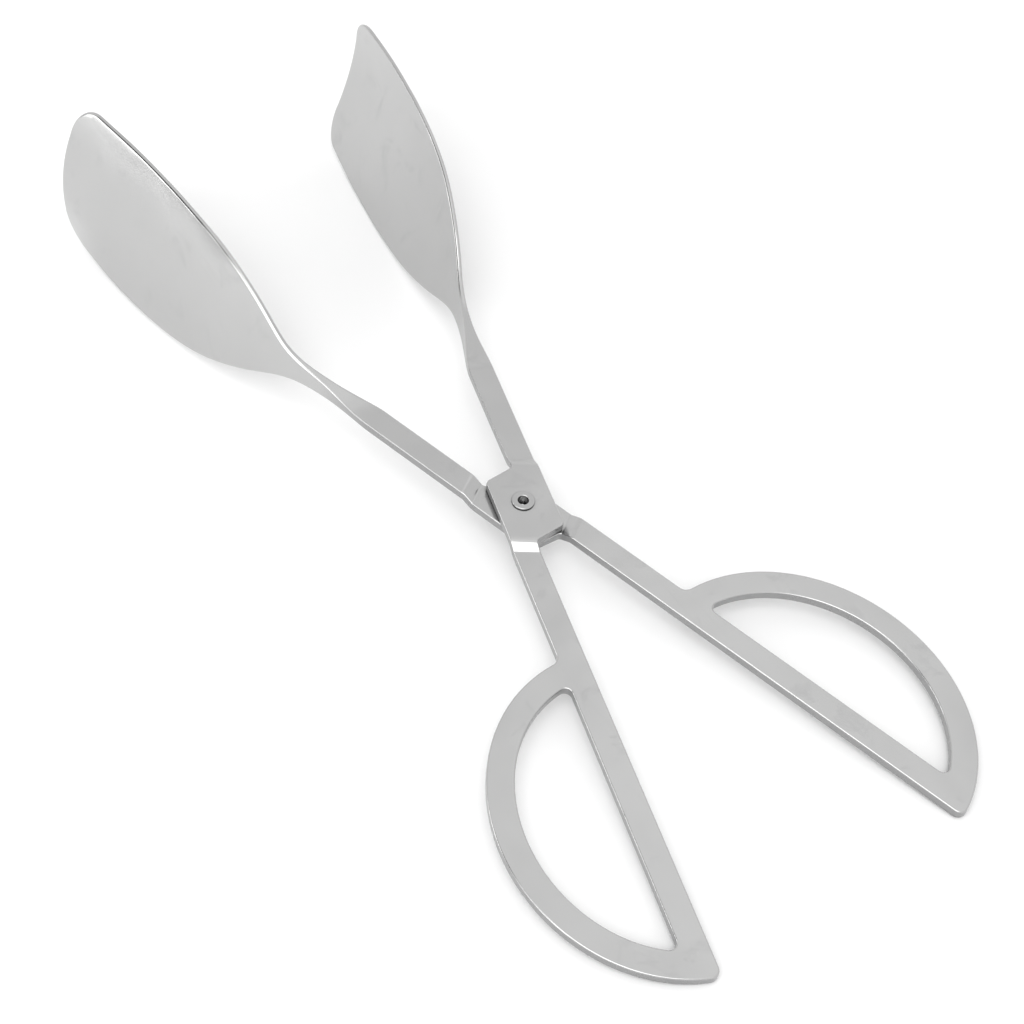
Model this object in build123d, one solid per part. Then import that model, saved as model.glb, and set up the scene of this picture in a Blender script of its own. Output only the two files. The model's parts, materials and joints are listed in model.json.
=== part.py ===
from build123d import *
import os
from math import cos, radians, sin, tan

# Scissor tongs: two identical pressed stainless arms, one turned over on the other,
# crossing at a hollow rivet. Millimetres, degrees. Each arm is drawn once in its own
# frame: the origin is on the rivet's axis where the two arms meet, Y runs from the
# finger loop to the blade, Z is the rivet's axis, and the arm's crossing plate lies
# above Z = 0. The tongs are then laid on a table, on the blades and the loops.

# Strip that the arm is pressed from
STOCK = 2.5              # thickness
STRIP = 6.25             # width of the handle, of the loop and of the front strip
EDGE_ROUND = 0.35        # tumbled edge of the strip

# Crossing plate
FRONT_INNER = 1.1        # X of the front strip's inner side
REAR_INNER = -0.45       # X of the rear strip's inner side
PLATE_FRONT = 8.1        # Y of the plate's free corner beside the front strip
PLATE_REAR = -8.9        # Y of the plate's free corner beside the rear strip
PLATE_SLOPE = 0.33       # rise of the plate's end edges across its width
PLATE_CORNER = 1.4       # radius of the free corners
NECK_FILLET = 0.9        # radius where a strip leaves the plate
PLATE_GAP = 0.1          # running gap between the two crossing plates
STEP_INNER = 11.4        # where the step from plate to strip starts
STEP_OUTER = 14.0        # where it ends
STEP_TURN = -18.0        # the step runs across the strip at this slant
BEND_INSIDE = 1.0        # inside radius of the bends; the outside one is a stock thicker

# Finger loop, a D with a straight bar and an elliptical bow
HANDLE_END = -124.3
BOW_CENTRE = (1.15, -83.7)
BOW_HALF_WIDTH = 35.9
BOW_HALF_LENGTH = 40.6
BOW_TURN = 6.9
BOW_FILLET = 2.4         # where the bow leaves the strip
OPENING_CORNER = 1.7
END_CORNER = 2.0

# Neck and blade, a shallow upright scoop. Each row is a section across the arm: Y,
# X and Z of its middle, half height, half thickness, lean outwards at the top (X per Z)
SECTIONS = (
    (43.0, 4.225, 0.00, 1.25, 3.125, 0.00),
    (49.0, 4.65, -0.45, 1.05, 2.65, 0.08),
    (55.0, 5.20, -0.90, 1.40, 1.57, 0.29),
    (60.0, 5.73, -1.28, 1.88, 0.98, 0.35),
    (65.0, 6.27, -1.60, 2.29, 0.76, 0.36),
    (70.0, 6.80, -1.79, 3.13, 0.71, 0.38),
    (76.0, 7.02, -1.79, 5.68, 0.70, 0.38),
    (82.0, 7.05, -1.59, 8.82, 0.68, 0.37),
    (90.0, 7.03, -1.30, 12.25, 0.65, 0.36),
    (98.0, 6.92, -1.00, 14.90, 0.63, 0.36),
    (110.0, 6.37, -0.67, 17.50, 0.60, 0.34),
    (124.0, 5.03, -0.30, 19.40, 0.60, 0.31),
    (143.0, 3.28, 0.10, 20.60, 0.60, 0.26),
    (166.0, 0.48, 0.20, 20.60, 0.60, 0.19),
)
NECK_ROWS = 4            # rows of the table that shape the neck
DISH_RADIUS = 88.0       # of the scoop's section, and where it begins to tighten
DISH_UNTIL = 124.0
TIP_DISH_RADIUS = 56.0   # of the last section
TIP_END = 161.8          # Y of the blade's end
TIP_BULGE = 0.8          # how far the end stands out in its middle
TIP_HALF_HEIGHT = 20.9
TIP_CORNER = 9.0
SPLAY_FROM = 73.0        # the blades are set over about this Y
UPPER_SPLAY = 2.6        # upper blade, outwards
LOWER_SPLAY = -2.6       # lower blade, inwards

# Semi-tubular rivet
RIVET_R = 2.0
RIVET_PLAY = 0.05        # between the rivet and the upper arm, all round and on top
FLANGE_R = 2.75
FLANGE_HEIGHT = 0.5
HEAD_R = 3.4
HEAD_HEIGHT = 1.2
BORE_R = 1.3
BORE_DEPTH = 3.4

# How the tongs lie
HALF_OPENING = 15.65     # each arm from the middle, in the opened rest pose
TABLE_TILT = 4.43        # front raised, until blades and loops touch the table


def bends_at(profile, levels):
    """The side profile's corners at the given heights."""
    return [v for v in profile.vertices()
            if abs(v.X) < STEP_OUTER + 1 and any(abs(v.Y - z) < 0.01 for z in levels)]


def side_profile():
    """The arm from the side: strips in the middle plane, plate stepped up."""
    offset = STOCK / 2 + PLATE_GAP / 2
    reach = 200.0
    middle = (
        (-reach, 0.0),
        (-STEP_OUTER, 0.0),
        (-STEP_INNER, offset),
        (STEP_INNER, offset),
        (STEP_OUTER, 0.0),
        (reach, 0.0),
    )
    top = [(y, z + STOCK / 2) for y, z in middle]
    bottom = [(y, z - STOCK / 2) for y, z in reversed(middle)]
    turn = radians(-STEP_TURN)
    along = (sin(turn), cos(turn), 0)
    across = (cos(turn), -sin(turn), 0)
    start = (-reach * across[0], -reach * across[1], 0)
    plane = Plane(origin=start, x_dir=along, z_dir=across)
    profile = Polygon(*(top + bottom), align=None)
    inside = (offset - STOCK / 2, STOCK / 2)
    outside = (offset + STOCK / 2, -STOCK / 2)
    profile = fillet(bends_at(profile, inside), BEND_INSIDE)
    profile = fillet(bends_at(profile, outside), BEND_INSIDE + STOCK)
    return extrude(plane * profile, amount=2 * reach, dir=across)


def bow_ellipse(inset):
    """The loop's bow, or its opening when inset by the width of the strip."""
    shape = Ellipse(BOW_HALF_WIDTH - inset, BOW_HALF_LENGTH - inset)
    return Pos(*BOW_CENTRE) * Rot(0, 0, BOW_TURN) * shape


def half_plane(edge):
    """Everything to the left of X = edge, as far as the loop reaches."""
    return Pos(edge - 50, HANDLE_END / 2) * Rectangle(100, 300)


def corners_near(shape, points, reach=2.5):
    """The vertices of a flat shape that lie near the given points."""
    return [v for v in shape.vertices()
            if any((Vector(v.X, v.Y) - Vector(*p)).length < reach for p in points)]


def loop_plan():
    """The finger loop and the rear strip, with the opening cut out."""
    outer_side = REAR_INNER - STRIP
    bow = bow_ellipse(0) & half_plane(REAR_INNER)
    strip_length = -HANDLE_END / 2
    strip = Pos(REAR_INNER - STRIP / 2, -strip_length / 2 - 8) * Rectangle(STRIP, strip_length)
    plan = bow + strip
    opening = bow_ellipse(STRIP) & half_plane(outer_side)
    opening = fillet(opening.vertices(), OPENING_CORNER)
    top_corner = [v for v in plan.vertices() if abs(v.X - outer_side) < 0.1 and v.Y < -30]
    plan = fillet(top_corner, BOW_FILLET)
    end_corner = sorted(plan.vertices(), key=lambda v: v.Y)[:1]
    plan = fillet(end_corner, END_CORNER)
    return plan - opening


def plate_plan():
    """The crossing plate and the front strip."""
    left = REAR_INNER - STRIP
    right = FRONT_INNER + STRIP
    front_at = PLATE_FRONT + PLATE_SLOPE * (FRONT_INNER - left)
    rear_at = PLATE_REAR - PLATE_SLOPE * (right - REAR_INNER)
    front_end = SECTIONS[0][0]
    plate = Polygon(
        (left, -15),
        (REAR_INNER, -15),
        (REAR_INNER, rear_at),
        (right, PLATE_REAR),
        (right, front_end),
        (FRONT_INNER, front_end),
        (FRONT_INNER, front_at),
        (left, PLATE_FRONT),
        align=None,
    )
    plate = fillet(corners_near(plate, [(right, PLATE_REAR), (left, PLATE_FRONT)]), PLATE_CORNER)
    inner = [(REAR_INNER, rear_at), (FRONT_INNER, front_at)]
    return fillet(corners_near(plate, inner, 0.5), NECK_FILLET)


def outline_edges(body, front_end):
    """The long edges of the stock, all but the cut at the front and the stepped corners."""
    edges = []
    for edge in body.edges():
        box = edge.bounding_box()
        upright = box.size.Z > 0.9 and box.size.X < 0.05 and box.size.Y < 0.05
        at_cut = box.min.Y > front_end - 0.1
        if not upright and not at_cut:
            edges.append(edge)
    return edges


def strip_body(hole_radius):
    """Loop, plate and front strip, cut from stepped stock, with rounded edges."""
    plan = loop_plan() + plate_plan()
    body = Pos(0, 0, -5) * extrude(plan, amount=10) & side_profile()
    body = fillet(outline_edges(body, SECTIONS[0][0]), EDGE_ROUND)
    return body - Cylinder(hole_radius, 20)


def section(y, middle, centre, half_height, half_thick, lean, splay):
    """One upright section of the neck or the blade, with rounded corners."""
    middle += tan(radians(splay)) * max(0.0, y - SPLAY_FROM)
    tighter = max(0.0, y - DISH_UNTIL) / (SECTIONS[-1][0] - DISH_UNTIL)
    curvature = (1 - tighter) / DISH_RADIUS + tighter / TIP_DISH_RADIUS
    sag = curvature * half_height ** 2 / 2 if lean else 0
    low = (middle - lean * half_height - sag, centre - half_height)
    high = (middle + lean * half_height - sag, centre + half_height)
    sides = []
    for shift in (-half_thick, half_thick):
        start = (low[0] + shift, low[1])
        end = (high[0] + shift, high[1])
        through = (middle + shift, centre)
        sides.append(ThreePointArc(start, through, end) if sag else Line(start, end))
    left, right = sides
    caps = [Line(left @ 1, right @ 1), Line(right @ 0, left @ 0)]
    plane = Plane(origin=(0, y, 0), x_dir=(1, 0, 0), z_dir=(0, -1, 0))
    face = make_face([left, caps[0], right, caps[1]])
    return plane * fillet(face.vertices(), EDGE_ROUND)


def tip_outline():
    """Side view of the blade's rounded end, with room to spare behind it."""
    corner = TIP_END - TIP_BULGE
    low = (corner, -TIP_HALF_HEIGHT)
    high = (corner, TIP_HALF_HEIGHT)
    end = ThreePointArc(low, (TIP_END, 0), high)
    back = Polyline(high, (30, TIP_HALF_HEIGHT), (30, -TIP_HALF_HEIGHT), low)
    face = make_face([end, back])
    tips = [v for v in face.vertices() if v.X > corner - 1]
    side = Plane(origin=(-60, 0, 0), x_dir=(0, 1, 0), z_dir=(1, 0, 0))
    return extrude(side * fillet(tips, TIP_CORNER), amount=120, dir=(1, 0, 0))


def blade_body(splay):
    """Neck, then blade, in two lofts that share a section; the end is trimmed round."""
    neck = loft([section(*row, splay) for row in SECTIONS[:NECK_ROWS]])
    blade = loft([section(*row, splay) for row in SECTIONS[NECK_ROWS - 1:]])
    return neck + (blade & tip_outline())


def arm(splay, hole_radius):
    """One whole arm in its own frame."""
    return strip_body(hole_radius) + blade_body(splay)


def rivet():
    """Hollow rivet: head below the lower plate, rolled flange on the upper one."""
    grip = STOCK + PLATE_GAP / 2
    flange_at = grip + RIVET_PLAY
    top = flange_at + FLANGE_HEIGHT
    base = -grip
    roll = FLANGE_HEIGHT / 2
    outline = [
        Line((0, base - HEAD_HEIGHT), (HEAD_R * 0.35, base - HEAD_HEIGHT)),
        ThreePointArc((HEAD_R * 0.35, base - HEAD_HEIGHT), (HEAD_R * 0.8, base - HEAD_HEIGHT * 0.68),
                      (HEAD_R, base - 0.2)),
        Polyline((HEAD_R, base - 0.2), (HEAD_R, base), (RIVET_R, base), (RIVET_R, flange_at),
                 (FLANGE_R - roll, flange_at)),
        ThreePointArc((FLANGE_R - roll, flange_at), (FLANGE_R, flange_at + roll), (FLANGE_R - roll, top)),
        Line((FLANGE_R - roll, top), (BORE_R + roll, top)),
        ThreePointArc((BORE_R + roll, top), (BORE_R + roll * 0.3, top - roll * 0.3), (BORE_R, top - roll)),
        Polyline((BORE_R, top - roll), (BORE_R, top - BORE_DEPTH), (0, top - BORE_DEPTH - 0.6),
                 (0, base - HEAD_HEIGHT)),
    ]
    return revolve(Plane.XZ * make_face(outline), Axis.Z)


def lay_on_table(shapes):
    """Raise the front and set the tongs down, with the origin under the middle."""
    tilted = [Rot(TABLE_TILT, 0, 0) * shape for shape in shapes]
    box = Compound(tilted).bounding_box()
    down = Pos(-box.center().X, -box.center().Y, -box.min.Z)
    return [down * shape for shape in tilted]


def tongs():
    """The three pieces, opened and lying on the table."""
    upper = Rot(0, 0, -HALF_OPENING) * arm(UPPER_SPLAY, RIVET_R + RIVET_PLAY)
    lower = Rot(0, 0, HALF_OPENING) * Rot(0, 180, 0) * arm(LOWER_SPLAY, RIVET_R)
    names = ("upper_arm", "lower_arm", "pivot_rivet")
    return dict(zip(names, lay_on_table([upper, lower, rivet()])))


def main():
    os.makedirs("parts", exist_ok=True)
    for name, shape in tongs().items():
        shape.label = name
        export_step(shape, f"parts/{name}.step")


if __name__ == "__main__":
    main()
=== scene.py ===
import json
import math
import bmesh
import bpy
from mathutils import Matrix, Vector


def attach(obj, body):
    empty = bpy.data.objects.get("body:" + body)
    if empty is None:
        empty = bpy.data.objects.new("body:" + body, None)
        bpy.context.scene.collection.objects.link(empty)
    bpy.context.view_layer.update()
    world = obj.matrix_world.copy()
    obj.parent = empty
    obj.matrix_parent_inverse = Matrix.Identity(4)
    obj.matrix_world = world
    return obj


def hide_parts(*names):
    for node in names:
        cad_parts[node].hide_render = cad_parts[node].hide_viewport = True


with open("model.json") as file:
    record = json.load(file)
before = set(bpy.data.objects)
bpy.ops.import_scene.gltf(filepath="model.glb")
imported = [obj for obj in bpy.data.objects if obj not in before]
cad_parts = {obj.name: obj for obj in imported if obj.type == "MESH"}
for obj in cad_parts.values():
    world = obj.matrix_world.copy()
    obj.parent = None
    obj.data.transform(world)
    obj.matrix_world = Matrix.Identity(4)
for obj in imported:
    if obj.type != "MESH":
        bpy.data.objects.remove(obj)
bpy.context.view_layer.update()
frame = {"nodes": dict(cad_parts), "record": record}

# The pivot is the tongs' own frame: origin on the rivet where the arms meet, Z along it
pivot = frame["record"]["behaviour"]["joints"][0]
axis = Vector(pivot["axis"])
TILT = math.atan2(-axis.y, axis.z)
TONGS = Matrix.Translation(Vector(pivot["pos_m"])) @ Matrix.Rotation(TILT, 4, "X")
MM = 0.001


# ---------------------------------------------------------------- materials
ARM_TINT = (0.500, 0.500, 0.498)
RIVET_TINT = (0.46, 0.46, 0.459)
CLOUDING = 0.06          # how much the polish varies in tone, either way
SMUDGE_TINT = (0.90, 0.90, 0.905, 1.0)
# painted shade laid on the upright sheared walls, multiplied into their colour
SHEARED_AND_SHADED_TINT = (0.68, 0.68, 0.685, 1.0)
DULLING = 0.05           # roughness that clouding and smudges add
HAIRLINES = ((0.5, 3.1), (-0.9, 7.7))    # turn and offset of each set of fine scratches
PAPER_TONES = (0.90, 0.91)


class Surface:
    """A node material with its Principled shader, and short ways to add nodes to it."""

    def __init__(self, name):
        self.material = bpy.data.materials.new(name)
        self.material.use_nodes = True
        self.nodes = self.material.node_tree.nodes
        self.link = self.material.node_tree.links.new
        self.shader = self.nodes["Principled BSDF"]
        self.place = self.add("ShaderNodeTexCoord").outputs["Object"]

    def add(self, kind, **values):
        node = self.nodes.new(kind)
        for key, given in values.items():
            if key in node.inputs.keys():
                node.inputs[key].default_value = given
            else:
                setattr(node, key, given)
        return node

    def noise(self, vector=None, **values):
        node = self.add("ShaderNodeTexNoise", **values)
        self.link(self.place if vector is None else vector, node.inputs["Vector"])
        return node.outputs["Fac"]

    def ranged(self, source, start, end, low=0.0, high=1.0):
        """The source's values from start to end, stretched to low to high."""
        node = self.add("ShaderNodeMapRange")
        for socket, given in (("From Min", start), ("From Max", end), ("To Min", low), ("To Max", high)):
            node.inputs[socket].default_value = given
        self.link(source, node.inputs["Value"])
        return node.outputs["Result"]

    def plus(self, base, source, factor, clamp=False):
        """base + source x factor."""
        node = self.add("ShaderNodeMath", operation="MULTIPLY_ADD", use_clamp=clamp)
        node.inputs[1].default_value = factor
        self.link(source, node.inputs[0])
        self.link(base, node.inputs[2])
        return node.outputs["Value"]

    def mixed(self, a, b, factor, blend_type="MIX"):
        """Colour mix; a and b are colours or sockets, and factor is a socket."""
        node = self.add("ShaderNodeMix", data_type="RGBA", blend_type=blend_type)
        for socket, given in (("A", a), ("B", b)):
            if isinstance(given, tuple):
                node.inputs[socket].default_value = given
            else:
                self.link(given, node.inputs[socket])
        self.link(factor, node.inputs["Factor"])
        return node.outputs["Result"]

    def bump(self, height, strength, distance, normal=None):
        node = self.add("ShaderNodeBump", Strength=strength, Distance=distance)
        self.link(height, node.inputs["Height"])
        if normal is not None:
            self.link(normal, node.inputs["Normal"])
        return node.outputs["Normal"]


def hairlines(surface):
    """Fine scratches: noise stretched along two directions."""
    sets = []
    for turn, offset in HAIRLINES:
        stretch = surface.add("ShaderNodeMapping", Rotation=(0.0, 0.0, turn), Scale=(900.0, 16.0, 200.0),
                              Location=(offset, offset, 0.0))
        surface.link(surface.place, stretch.inputs["Vector"])
        hair = surface.noise(stretch.outputs["Vector"], Scale=1.0, Detail=2.0, Roughness=0.5)
        sets.append(surface.ranged(hair, 0.60, 0.80))
    both = surface.add("ShaderNodeMath", operation="ADD")
    surface.link(sets[0], both.inputs[0])
    surface.link(sets[1], both.inputs[1])
    return both.outputs["Value"]


def steel(name, tint, rough):
    """Satin-polished stainless: clouding, smudges, hairlines, duller sheared edges, painted shade on the
    sheared walls and in the corners.
    """
    surface = Surface(name)
    shader = surface.shader
    shader.inputs["Metallic"].default_value = 1.0
    shader.inputs["Specular IOR Level"].default_value = 0.5
    cloud = surface.noise(Scale=38.0, Detail=3.0, Roughness=0.55)
    smudge = surface.noise(Scale=120.0, Detail=5.0, Roughness=0.62, Distortion=0.6)
    smudges = surface.ranged(smudge, 0.56, 0.74)
    hairs = hairlines(surface)
    cut = surface.add("ShaderNodeAttribute", attribute_name="cut").outputs["Fac"]

    # colour: polish clouds it, smudges darken it, painted shade darkens the sheared walls and fills the
    # corners
    darker = (*[c * (1 - CLOUDING) for c in tint], 1.0)
    lighter = (*[c * (1 + CLOUDING) for c in tint], 1.0)
    colour = surface.mixed(darker, lighter, cloud)
    colour = surface.mixed(colour, SMUDGE_TINT, surface.ranged(smudges, 0.0, 1.0, 0.0, 0.85), "MULTIPLY")
    # painted shade: the upright sheared walls are multiplied darker, besides the duller roughness they get
    # below
    colour = surface.mixed(colour, SHEARED_AND_SHADED_TINT, cut, "MULTIPLY")
    # painted shade: ambient occlusion darkens the colour in corners, creases and narrow gaps between the
    # parts
    corner = surface.add("ShaderNodeAmbientOcclusion", samples=8, Distance=0.0011)
    painted_corner_shade = surface.add("ShaderNodeVectorMath", operation="SCALE")
    surface.link(colour, painted_corner_shade.inputs[0])
    surface.link(surface.ranged(corner.outputs["AO"], 0.30, 0.90, 0.30), painted_corner_shade.inputs["Scale"])
    surface.link(painted_corner_shade.outputs["Vector"], shader.inputs["Base Color"])

    # roughness: satin, duller in smudges, hairlines and on the sheared edges
    spread = surface.ranged(cloud, 0.0, 1.0, rough - DULLING * 0.6, rough + DULLING * 0.6)
    dulled = surface.plus(spread, smudges, DULLING)
    scratched = surface.plus(dulled, hairs, 0.07, clamp=True)
    surface.link(surface.plus(scratched, cut, 0.10, clamp=True), shader.inputs["Roughness"])

    # relief: the gentle waves of pressed sheet, its grain, hairlines
    waves = surface.bump(surface.noise(Scale=75.0, Detail=1.0, Roughness=0.4), 1.0, 0.0003)
    grain = surface.noise(Scale=2600.0, Detail=2.0, Roughness=0.6)
    fine = surface.bump(surface.plus(grain, hairs, -0.55), 0.05, 0.00004, waves)
    surface.link(fine, shader.inputs["Normal"])
    return surface.material


def paper(name):
    """The pale studio floor."""
    surface = Surface(name)
    first, second = ((tone, tone, tone, 1.0) for tone in PAPER_TONES)
    colour = surface.mixed(first, second, surface.noise(Scale=30.0, Detail=3.0))
    surface.link(colour, surface.shader.inputs["Base Color"])
    surface.shader.inputs["Roughness"].default_value = 0.9
    surface.shader.inputs["Specular IOR Level"].default_value = 0.0
    return surface.material


arm_steel = steel("arm_steel", ARM_TINT, 0.17)
rivet_steel = steel("rivet_steel", RIVET_TINT, 0.20)


# ---------------------------------------------------------------- neck and blade
# Sections across the arm in the arm's own frame, millimetres: Y, X and Z of the middle,
# half height, half thickness, lean outwards at the top
SECTIONS = (
    (43.0, 4.225, 0.00, 1.25, 3.125, 0.00),
    (49.0, 4.65, -0.45, 1.05, 2.65, 0.08),
    (55.0, 5.20, -0.90, 1.40, 1.57, 0.29),
    (60.0, 5.73, -1.28, 1.88, 0.98, 0.35),
    (65.0, 6.27, -1.60, 2.29, 0.76, 0.36),
    (70.0, 6.80, -1.79, 3.13, 0.71, 0.38),
    (76.0, 7.02, -1.79, 5.68, 0.70, 0.38),
    (82.0, 7.05, -1.59, 8.82, 0.68, 0.37),
    (90.0, 7.03, -1.30, 12.25, 0.65, 0.36),
    (98.0, 6.92, -1.00, 14.90, 0.63, 0.36),
    (110.0, 6.37, -0.67, 17.50, 0.60, 0.34),
    (124.0, 5.03, -0.30, 19.40, 0.60, 0.31),
    (143.0, 3.28, 0.10, 20.60, 0.60, 0.26),
    (166.0, 0.48, 0.20, 20.60, 0.60, 0.19),
)
CUT = 43.0               # where the neck leaves the strip
DISH_RADIUS, DISH_UNTIL, TIP_DISH_RADIUS = 88.0, 124.0, 56.0
EDGE_ROUND = 0.35        # of the strip
RIM_ROUND = 0.52         # of the blade's rim
TIP_END, TIP_BULGE, TIP_CORNER = 161.8, 0.8, 9.0
SPLAY_FROM = 73.0
SHEARED_TO = 60.0        # the sheared edges fade out on the neck, by this Y
HALF_OPENING = 15.65
NECK_MESH_END = 78.0     # rows are closer together up to this Y
NECK_ROW, BLADE_ROW = 0.6, 1.0
COLUMNS = 41             # vertices across the blade
TIP_ROWS = 16            # rows over its rounded end
CORNER_STEPS = 24        # points along half of a tip corner
BULGE_STEPS = 30         # points along half of the end between the corners
SMOOTH_REACH = 7.0       # how far the section values are averaged along the arm
SMOOTH_TAPS = 8
SHARP_ANGLE = 48.0
_cache = {}


def monotone(column, y):
    """Smooth curve through one column of the sections, without overshoot."""
    ys = [r[0] for r in SECTIONS]
    vs = [r[column] for r in SECTIONS]
    n = len(ys)
    step = [(vs[i + 1] - vs[i]) / (ys[i + 1] - ys[i]) for i in range(n - 1)]
    slope = [0.0] * (n - 1) + [step[-1]]
    for i in range(1, n - 1):
        before, after = step[i - 1], step[i]
        if before * after > 0:
            wa = 2 * (ys[i + 1] - ys[i]) + (ys[i] - ys[i - 1])
            wb = (ys[i + 1] - ys[i]) + 2 * (ys[i] - ys[i - 1])
            slope[i] = (wa + wb) / (wa / before + wb / after)
    i = max(0, min(n - 2, sum(1 for v in ys if v <= y) - 1))
    h = ys[i + 1] - ys[i]
    t = (y - ys[i]) / h
    return (vs[i] * (1 + 2 * t) * (1 - t) ** 2 + slope[i] * h * t * (1 - t) ** 2
            + vs[i + 1] * t * t * (3 - 2 * t) + slope[i + 1] * h * t * t * (t - 1))


def value(column, y):
    """The section's value at y, averaged along the arm to take out small kinks."""
    key = (column, round(y, 4))
    if key not in _cache:
        reach = max(0.0, min(SMOOTH_REACH, y - CUT))
        total = weight = 0.0
        for k in range(-SMOOTH_TAPS, SMOOTH_TAPS + 1):
            w = (1 - (k / (SMOOTH_TAPS + 1)) ** 2) ** 2
            total += w * monotone(column, min(SECTIONS[-1][0], y + reach * k / SMOOTH_TAPS))
            weight += w
        _cache[key] = total / weight
    return _cache[key]


def middle_x(y, z, splay):
    """X of the blade's middle surface."""
    v = z - value(2, y)
    dished = min(1.0, max(0.0, (y - CUT) / 12.0))
    tighter = min(1.0, max(0.0, y - DISH_UNTIL) / (SECTIONS[-1][0] - DISH_UNTIL))
    curvature = dished * ((1 - tighter) / DISH_RADIUS + tighter / TIP_DISH_RADIUS)
    x = value(1, y) + value(5, y) * v - curvature * v * v / 2
    return x + math.tan(math.radians(splay)) * max(0.0, y - SPLAY_FROM)


def rim_round(y):
    """Radius of the section's corners."""
    blend = min(1.0, max(0.0, (y - 48.0) / 20.0))
    return min(EDGE_ROUND + (RIM_ROUND - EDGE_ROUND) * blend, value(4, y) * 0.93)


def resample(points, count):
    """Evenly spaced points along a polyline of (y, z)."""
    runs = [0.0]
    for p, q in zip(points[:-1], points[1:]):
        runs.append(runs[-1] + math.hypot(q[0] - p[0], q[1] - p[1]))
    out, k = [], 0
    for j in range(count):
        at = runs[-1] * j / (count - 1)
        while k < len(runs) - 2 and runs[k + 1] < at:
            k += 1
        t = (at - runs[k]) / (runs[k + 1] - runs[k])
        out.append(tuple(points[k][c] + (points[k + 1][c] - points[k][c]) * t for c in (0, 1)))
    return out


def straight_row(y, middle, half):
    """Evenly spaced (y, z) points across the blade."""
    return [(y, middle + half * (2.0 * j / (COLUMNS - 1) - 1)) for j in range(COLUMNS)]


def side_grid():
    """Rows of (y, z) over the side face, inset from the outline by the rim's rounding."""
    rows = []
    start = TIP_END - TIP_BULGE - TIP_CORNER
    y = CUT
    while y < start - 0.4:
        half = value(3, y) - rim_round(y)
        rows.append(straight_row(y, value(2, y), half))
        y += NECK_ROW if y < NECK_MESH_END else BLADE_ROW
    inset = rim_round(start)
    half = value(3, start) - inset
    mid = value(2, start)
    radius = TIP_CORNER - inset
    end = TIP_END - inset
    corner = [(start + radius * math.sin(b), mid - half + radius - radius * math.cos(b))
              for b in [math.pi / 4 * k / CORNER_STEPS for k in range(2 * CORNER_STEPS + 1)]]
    low, later = corner[:CORNER_STEPS + 1], corner[CORNER_STEPS:]
    flat = half - radius
    corner_y = start + radius
    bulge = [(corner_y + (end - corner_y) * (1 - (k / BULGE_STEPS - 1) ** 2),
              mid - flat * (1 - k / BULGE_STEPS)) for k in range(1, BULGE_STEPS + 1)]
    half_end = later + bulge
    end_curve = half_end + [(p, 2 * mid - z) for p, z in reversed(half_end[:-1])]
    high = [(p, 2 * mid - z) for p, z in low]
    low, high = resample(low, TIP_ROWS), resample(high, TIP_ROWS)
    first = straight_row(start, mid, half)
    last = resample(end_curve, COLUMNS)
    for k in range(TIP_ROWS):
        t = k / (TIP_ROWS - 1)
        row = []
        for j in range(COLUMNS):
            s = j / (COLUMNS - 1)
            row.append(tuple(
                (1 - t) * first[j][c] + t * last[j][c] + (1 - s) * low[k][c] + s * high[k][c]
                - (1 - t) * (1 - s) * first[0][c] - (1 - t) * s * first[-1][c]
                - t * (1 - s) * last[0][c] - t * s * last[-1][c] for c in (0, 1)))
        rows.append(row)
    return rows


def rim_profile(y):
    """(sideways, outward) offsets across the rim, from one side face to the other."""
    thick, radius = value(4, y), rim_round(y)
    turn = [math.pi / 2 * k / 6 for k in range(7)]
    half = [(thick - radius + radius * math.cos(a), radius * math.sin(a)) for a in turn]
    flat = thick - radius
    inner = [(flat * (1 - k / 3.0), radius) for k in range(1, 3)]
    right = half + inner + [(0.0, radius)]
    return right + [(-u, o) for u, o in reversed(right[:-1])]


def blade_mesh(bm, splay):
    """Adds the neck and blade: two dished side faces and a rounded rim round three sides."""
    rows = side_grid()
    made = {}

    def vertex(y, z, u):
        x = middle_x(y, z, splay) + u
        key = (round(x, 4), round(y, 4), round(z, 4))
        if key not in made:
            made[key] = bm.verts.new((x, y, z))
        return made[key]

    def patch(grid):
        for p, q in zip(grid[:-1], grid[1:]):
            for j in range(len(p) - 1):
                loop = [p[j], p[j + 1], q[j + 1], q[j]]
                corners = []
                for v in loop:
                    if v not in corners:
                        corners.append(v)
                if len(corners) > 2:
                    bm.faces.new(corners)

    right = [[vertex(y, z, value(4, y)) for y, z in row] for row in rows]
    left = [[vertex(y, z, -value(4, y)) for y, z in reversed(row)] for row in rows]
    patch(right)
    patch(left)

    def rim(edge, outward):
        strips = []
        for (y, z), (oy, oz) in zip(edge, outward):
            strips.append([vertex(y + o * oy, z + o * oz, u) for u, o in rim_profile(y)])
        return strips

    def normals(edge, side):
        out = []
        for i in range(len(edge)):
            p, q = edge[max(0, i - 1)], edge[min(len(edge) - 1, i + 1)]
            ease = min(1.0, max(0.0, (edge[i][0] - CUT) / 10.0))
            dy, dz = q[0] - p[0], (q[1] - p[1]) * ease
            size = math.hypot(dy, dz)
            out.append((-side * dz / size, side * dy / size))
        return out

    bottom = [row[0] for row in rows]
    top = [row[-1] for row in rows]
    low_out, high_out = normals(bottom, -1), normals(top, 1)
    end = rows[-1]
    end_out = normals(end, -1)
    diagonal = math.sqrt(0.5)
    low_out[-1] = end_out[0] = (diagonal, -diagonal)
    high_out[-1] = end_out[-1] = (diagonal, diagonal)
    end_out = [(abs(along), up) for along, up in end_out]
    patch([list(reversed(s)) for s in rim(top, high_out)])
    patch(rim(bottom, low_out))
    patch(rim(end, end_out))


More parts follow.
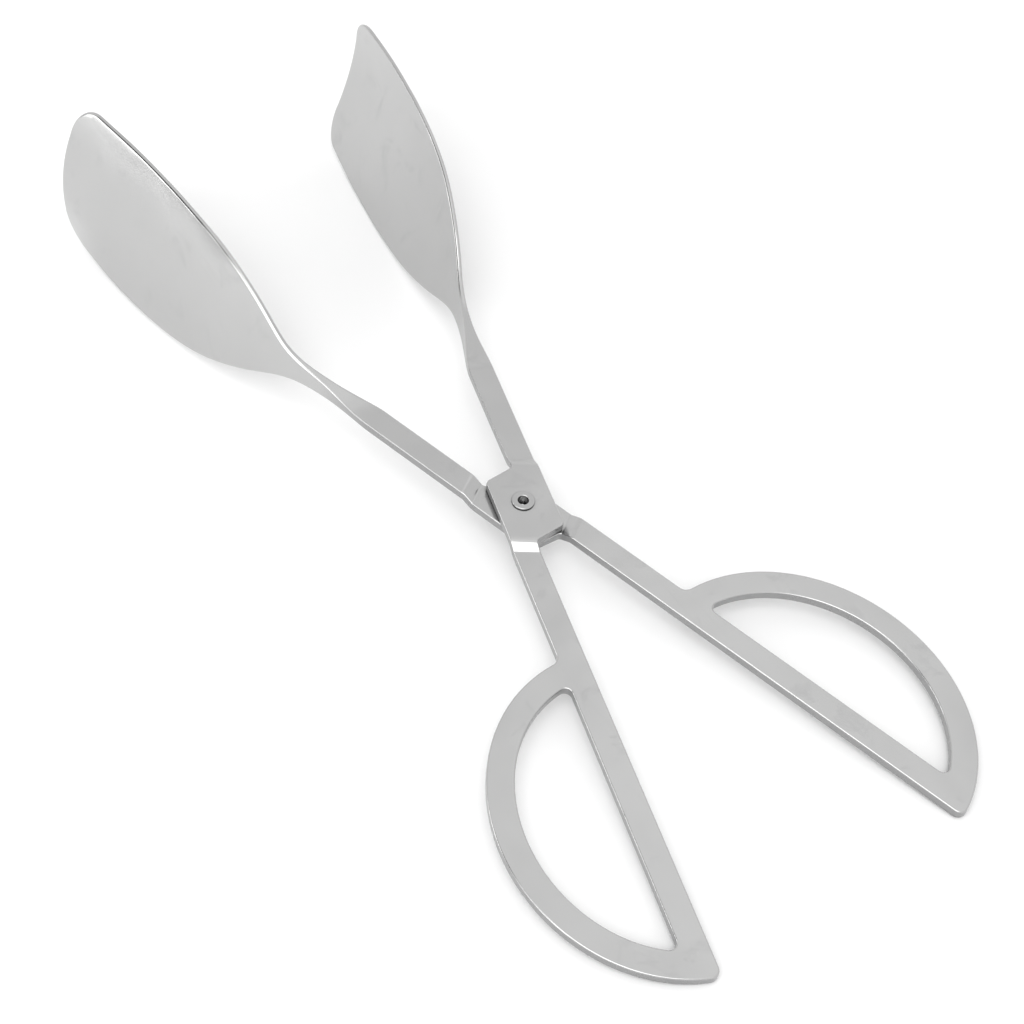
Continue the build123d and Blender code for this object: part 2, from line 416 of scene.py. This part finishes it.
def mark_sheared(bm):
    """Marks the upright cut faces of loop, plate and strips, fading out along the neck; the material makes
    them duller and paints shade on them.
    """
    bm.normal_update()
    cut = bm.faces.layers.float.new("cut")
    for face in bm.faces:
        upright = (0.6 - abs(face.normal.z)) / 0.3
        near = (SHEARED_TO - face.calc_center_median().y) / (SHEARED_TO - CUT)
        face[cut] = min(1.0, max(0.0, upright)) * min(1.0, max(0.0, near))


def arm_piece(name, node, place, splay, body):
    """Strip, plate and loop from the CAD part, with a finely meshed neck and blade."""
    bm = bmesh.new()
    bm.from_mesh(frame["nodes"][node].data)
    bmesh.ops.transform(bm, matrix=(place @ Matrix.Scale(MM, 4)).inverted(), verts=bm.verts)
    bmesh.ops.remove_doubles(bm, verts=bm.verts, dist=0.0005)
    bmesh.ops.bisect_plane(bm, geom=bm.verts[:] + bm.edges[:] + bm.faces[:], dist=0.00001,
                           plane_co=(0, CUT, 0), plane_no=(0, 1, 0), clear_outer=True)
    blade_mesh(bm, splay)
    mark_sheared(bm)
    bmesh.ops.transform(bm, matrix=place @ Matrix.Scale(MM, 4), verts=bm.verts)
    bmesh.ops.recalc_face_normals(bm, faces=bm.faces)
    for edge in bm.edges:
        edge.smooth = not (len(edge.link_faces) == 2 and edge.calc_face_angle() > math.radians(SHARP_ANGLE))
    mesh = bpy.data.meshes.new(name)
    bm.to_mesh(mesh)
    bm.free()
    mesh.shade_smooth()
    piece = bpy.data.objects.new(name, mesh)
    bpy.context.collection.objects.link(piece)
    weigh = piece.modifiers.new("weigh", "WEIGHTED_NORMAL")
    weigh.weight = 100
    weigh.keep_sharp = True
    bpy.context.view_layer.update()
    final = bpy.data.meshes.new_from_object(piece.evaluated_get(bpy.context.evaluated_depsgraph_get()))
    piece.modifiers.clear()
    piece.data = final
    final.materials.append(arm_steel)
    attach(piece, body)
    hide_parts(node)
    return piece


UPPER = TONGS @ Matrix.Rotation(math.radians(-HALF_OPENING), 4, "Z")
LOWER = TONGS @ Matrix.Rotation(math.radians(HALF_OPENING), 4, "Z") @ Matrix.Rotation(math.pi, 4, "Y")
arm_piece("upper_arm_steel", "upper_arm", UPPER, 2.6, "upper")
arm_piece("lower_arm_steel", "lower_arm", LOWER, -2.6, "lower")

rivet = frame["nodes"]["pivot_rivet"]
rivet.data.materials.clear()
rivet.data.materials.append(rivet_steel)


# ---------------------------------------------------------------- stage
FLOOR_REACH = 3.0
FLOOR_DROP = 0.0002      # just under the tongs
SKY = ((0.0, 0.80), (0.10, 0.84), (0.30, 0.90), (0.60, 0.84), (0.82, 0.81), (0.90, 0.90), (1.0, 1.0))
SKY_STRENGTH = 1.15
KEY_FROM = (-0.36, -0.33, 0.87)
GLOW = 0.15              # how much paler the sky is round the key light
CARDS = (                # direction, where it starts and is full (as cosines), sky left there
    ((-0.66, 0.38, 0.65), 0.93, 0.975, 0.12),
    ((0.48, 0.22, 0.85), 0.980, 0.998, 1.19),
)
LIGHTS_AWAY = 1.2
LIGHTS = (               # name, direction, diameter, power
    ("key", KEY_FROM, 0.90, 4.0),
    ("left", (-0.90, 0.04, 0.46), 0.70, 2.4),
    ("back", (-0.76, 0.60, 0.24), 0.46, 1.7),
)


def floor():
    """A plain pale floor."""
    mesh = bpy.data.meshes.new("floor")
    corners = [(x * FLOOR_REACH, y * FLOOR_REACH, 0) for x, y in ((-1, -1), (1, -1), (1, 1), (-1, 1))]
    mesh.from_pydata(corners, [], [(0, 1, 2, 3)])
    mesh.materials.append(paper("floor_paper"))
    sheet = bpy.data.objects.new("floor", mesh)
    sheet.location.z = -FLOOR_DROP
    bpy.context.collection.objects.link(sheet)


def sky():
    """White surroundings: a little darker at the horizon, paler by the key light, one dark card."""
    world = bpy.data.worlds.new("studio")
    bpy.context.scene.world = world
    world.use_nodes = True
    nodes, link = world.node_tree.nodes, world.node_tree.links.new
    coord = nodes.new("ShaderNodeTexCoord").outputs["Generated"]

    def toward(direction, start, end, low, high):
        """From low to high as the view turns towards a direction."""
        aim = nodes.new("ShaderNodeVectorMath")
        aim.operation = "DOT_PRODUCT"
        aim.inputs[1].default_value = Vector(direction).normalized()
        link(coord, aim.inputs[0])
        fall = nodes.new("ShaderNodeMapRange")
        fall.interpolation_type = "SMOOTHSTEP"
        for socket, given in (("From Min", start), ("From Max", end), ("To Min", low), ("To Max", high)):
            fall.inputs[socket].default_value = given
        link(aim.outputs["Value"], fall.inputs["Value"])
        return fall.outputs["Result"]

    split = nodes.new("ShaderNodeSeparateXYZ")
    link(coord, split.inputs[0])
    ramp = nodes.new("ShaderNodeValToRGB")
    stops = ramp.color_ramp.elements
    for stop, (at, grey) in zip(stops, (SKY[0], SKY[-1])):
        stop.position, stop.color = at, (grey, grey, grey, 1)
    for at, grey in SKY[1:-1]:
        stops.new(at).color = (grey, grey, grey, 1)
    link(split.outputs["Z"], ramp.inputs["Fac"])

    both = nodes.new("ShaderNodeMix")
    both.data_type = "RGBA"
    both.blend_type = "ADD"
    both.clamp_result = False
    both.inputs["Factor"].default_value = 1.0
    link(ramp.outputs["Color"], both.inputs["A"])
    link(toward(KEY_FROM, 0.70, 1.0, 0.0, GLOW), both.inputs["B"])
    shade = both.outputs["Result"]
    for direction, start, full, left in CARDS:
        dim = nodes.new("ShaderNodeVectorMath")
        dim.operation = "SCALE"
        link(shade, dim.inputs[0])
        link(toward(direction, start, full, 1.0, left), dim.inputs["Scale"])
        shade = dim.outputs["Vector"]
    link(shade, nodes["Background"].inputs["Color"])
    nodes["Background"].inputs["Strength"].default_value = SKY_STRENGTH


def lights():
    """One large soft light above, and two smaller ones low at the left."""
    for name, direction, size, power in LIGHTS:
        lamp = bpy.data.lights.new(name, "AREA")
        lamp.shape = "DISK"
        lamp.size = size
        lamp.energy = power
        spot = Vector(direction).normalized() * LIGHTS_AWAY
        holder = bpy.data.objects.new(name, lamp)
        holder.location = spot
        holder.rotation_euler = (-spot).to_track_quat("-Z", "Y").to_euler()
        bpy.context.collection.objects.link(holder)


def camera():
    """The photograph's view, solved in the tongs' own frame."""
    lens = bpy.data.cameras.new("camera")
    lens.lens = 65.92
    lens.sensor_width = 36.0
    lens.clip_start = 0.01
    obj = bpy.data.objects.new("camera", lens)
    right = Vector((0.81627, -0.57019, 0.09268))
    up = Vector((0.41255, 0.68770, 0.59738))
    back = right.cross(up)
    turn = Matrix((right, up, back)).transposed().to_4x4()
    stand = Vector((-183.95, -201.11, 356.80)) * MM
    obj.matrix_world = TONGS @ Matrix.Translation(stand) @ turn
    bpy.context.collection.objects.link(obj)
    bpy.context.scene.camera = obj


floor()
sky()
lights()
camera()
bpy.context.scene.view_settings.view_transform = "Standard"
bpy.context.view_layer.update()
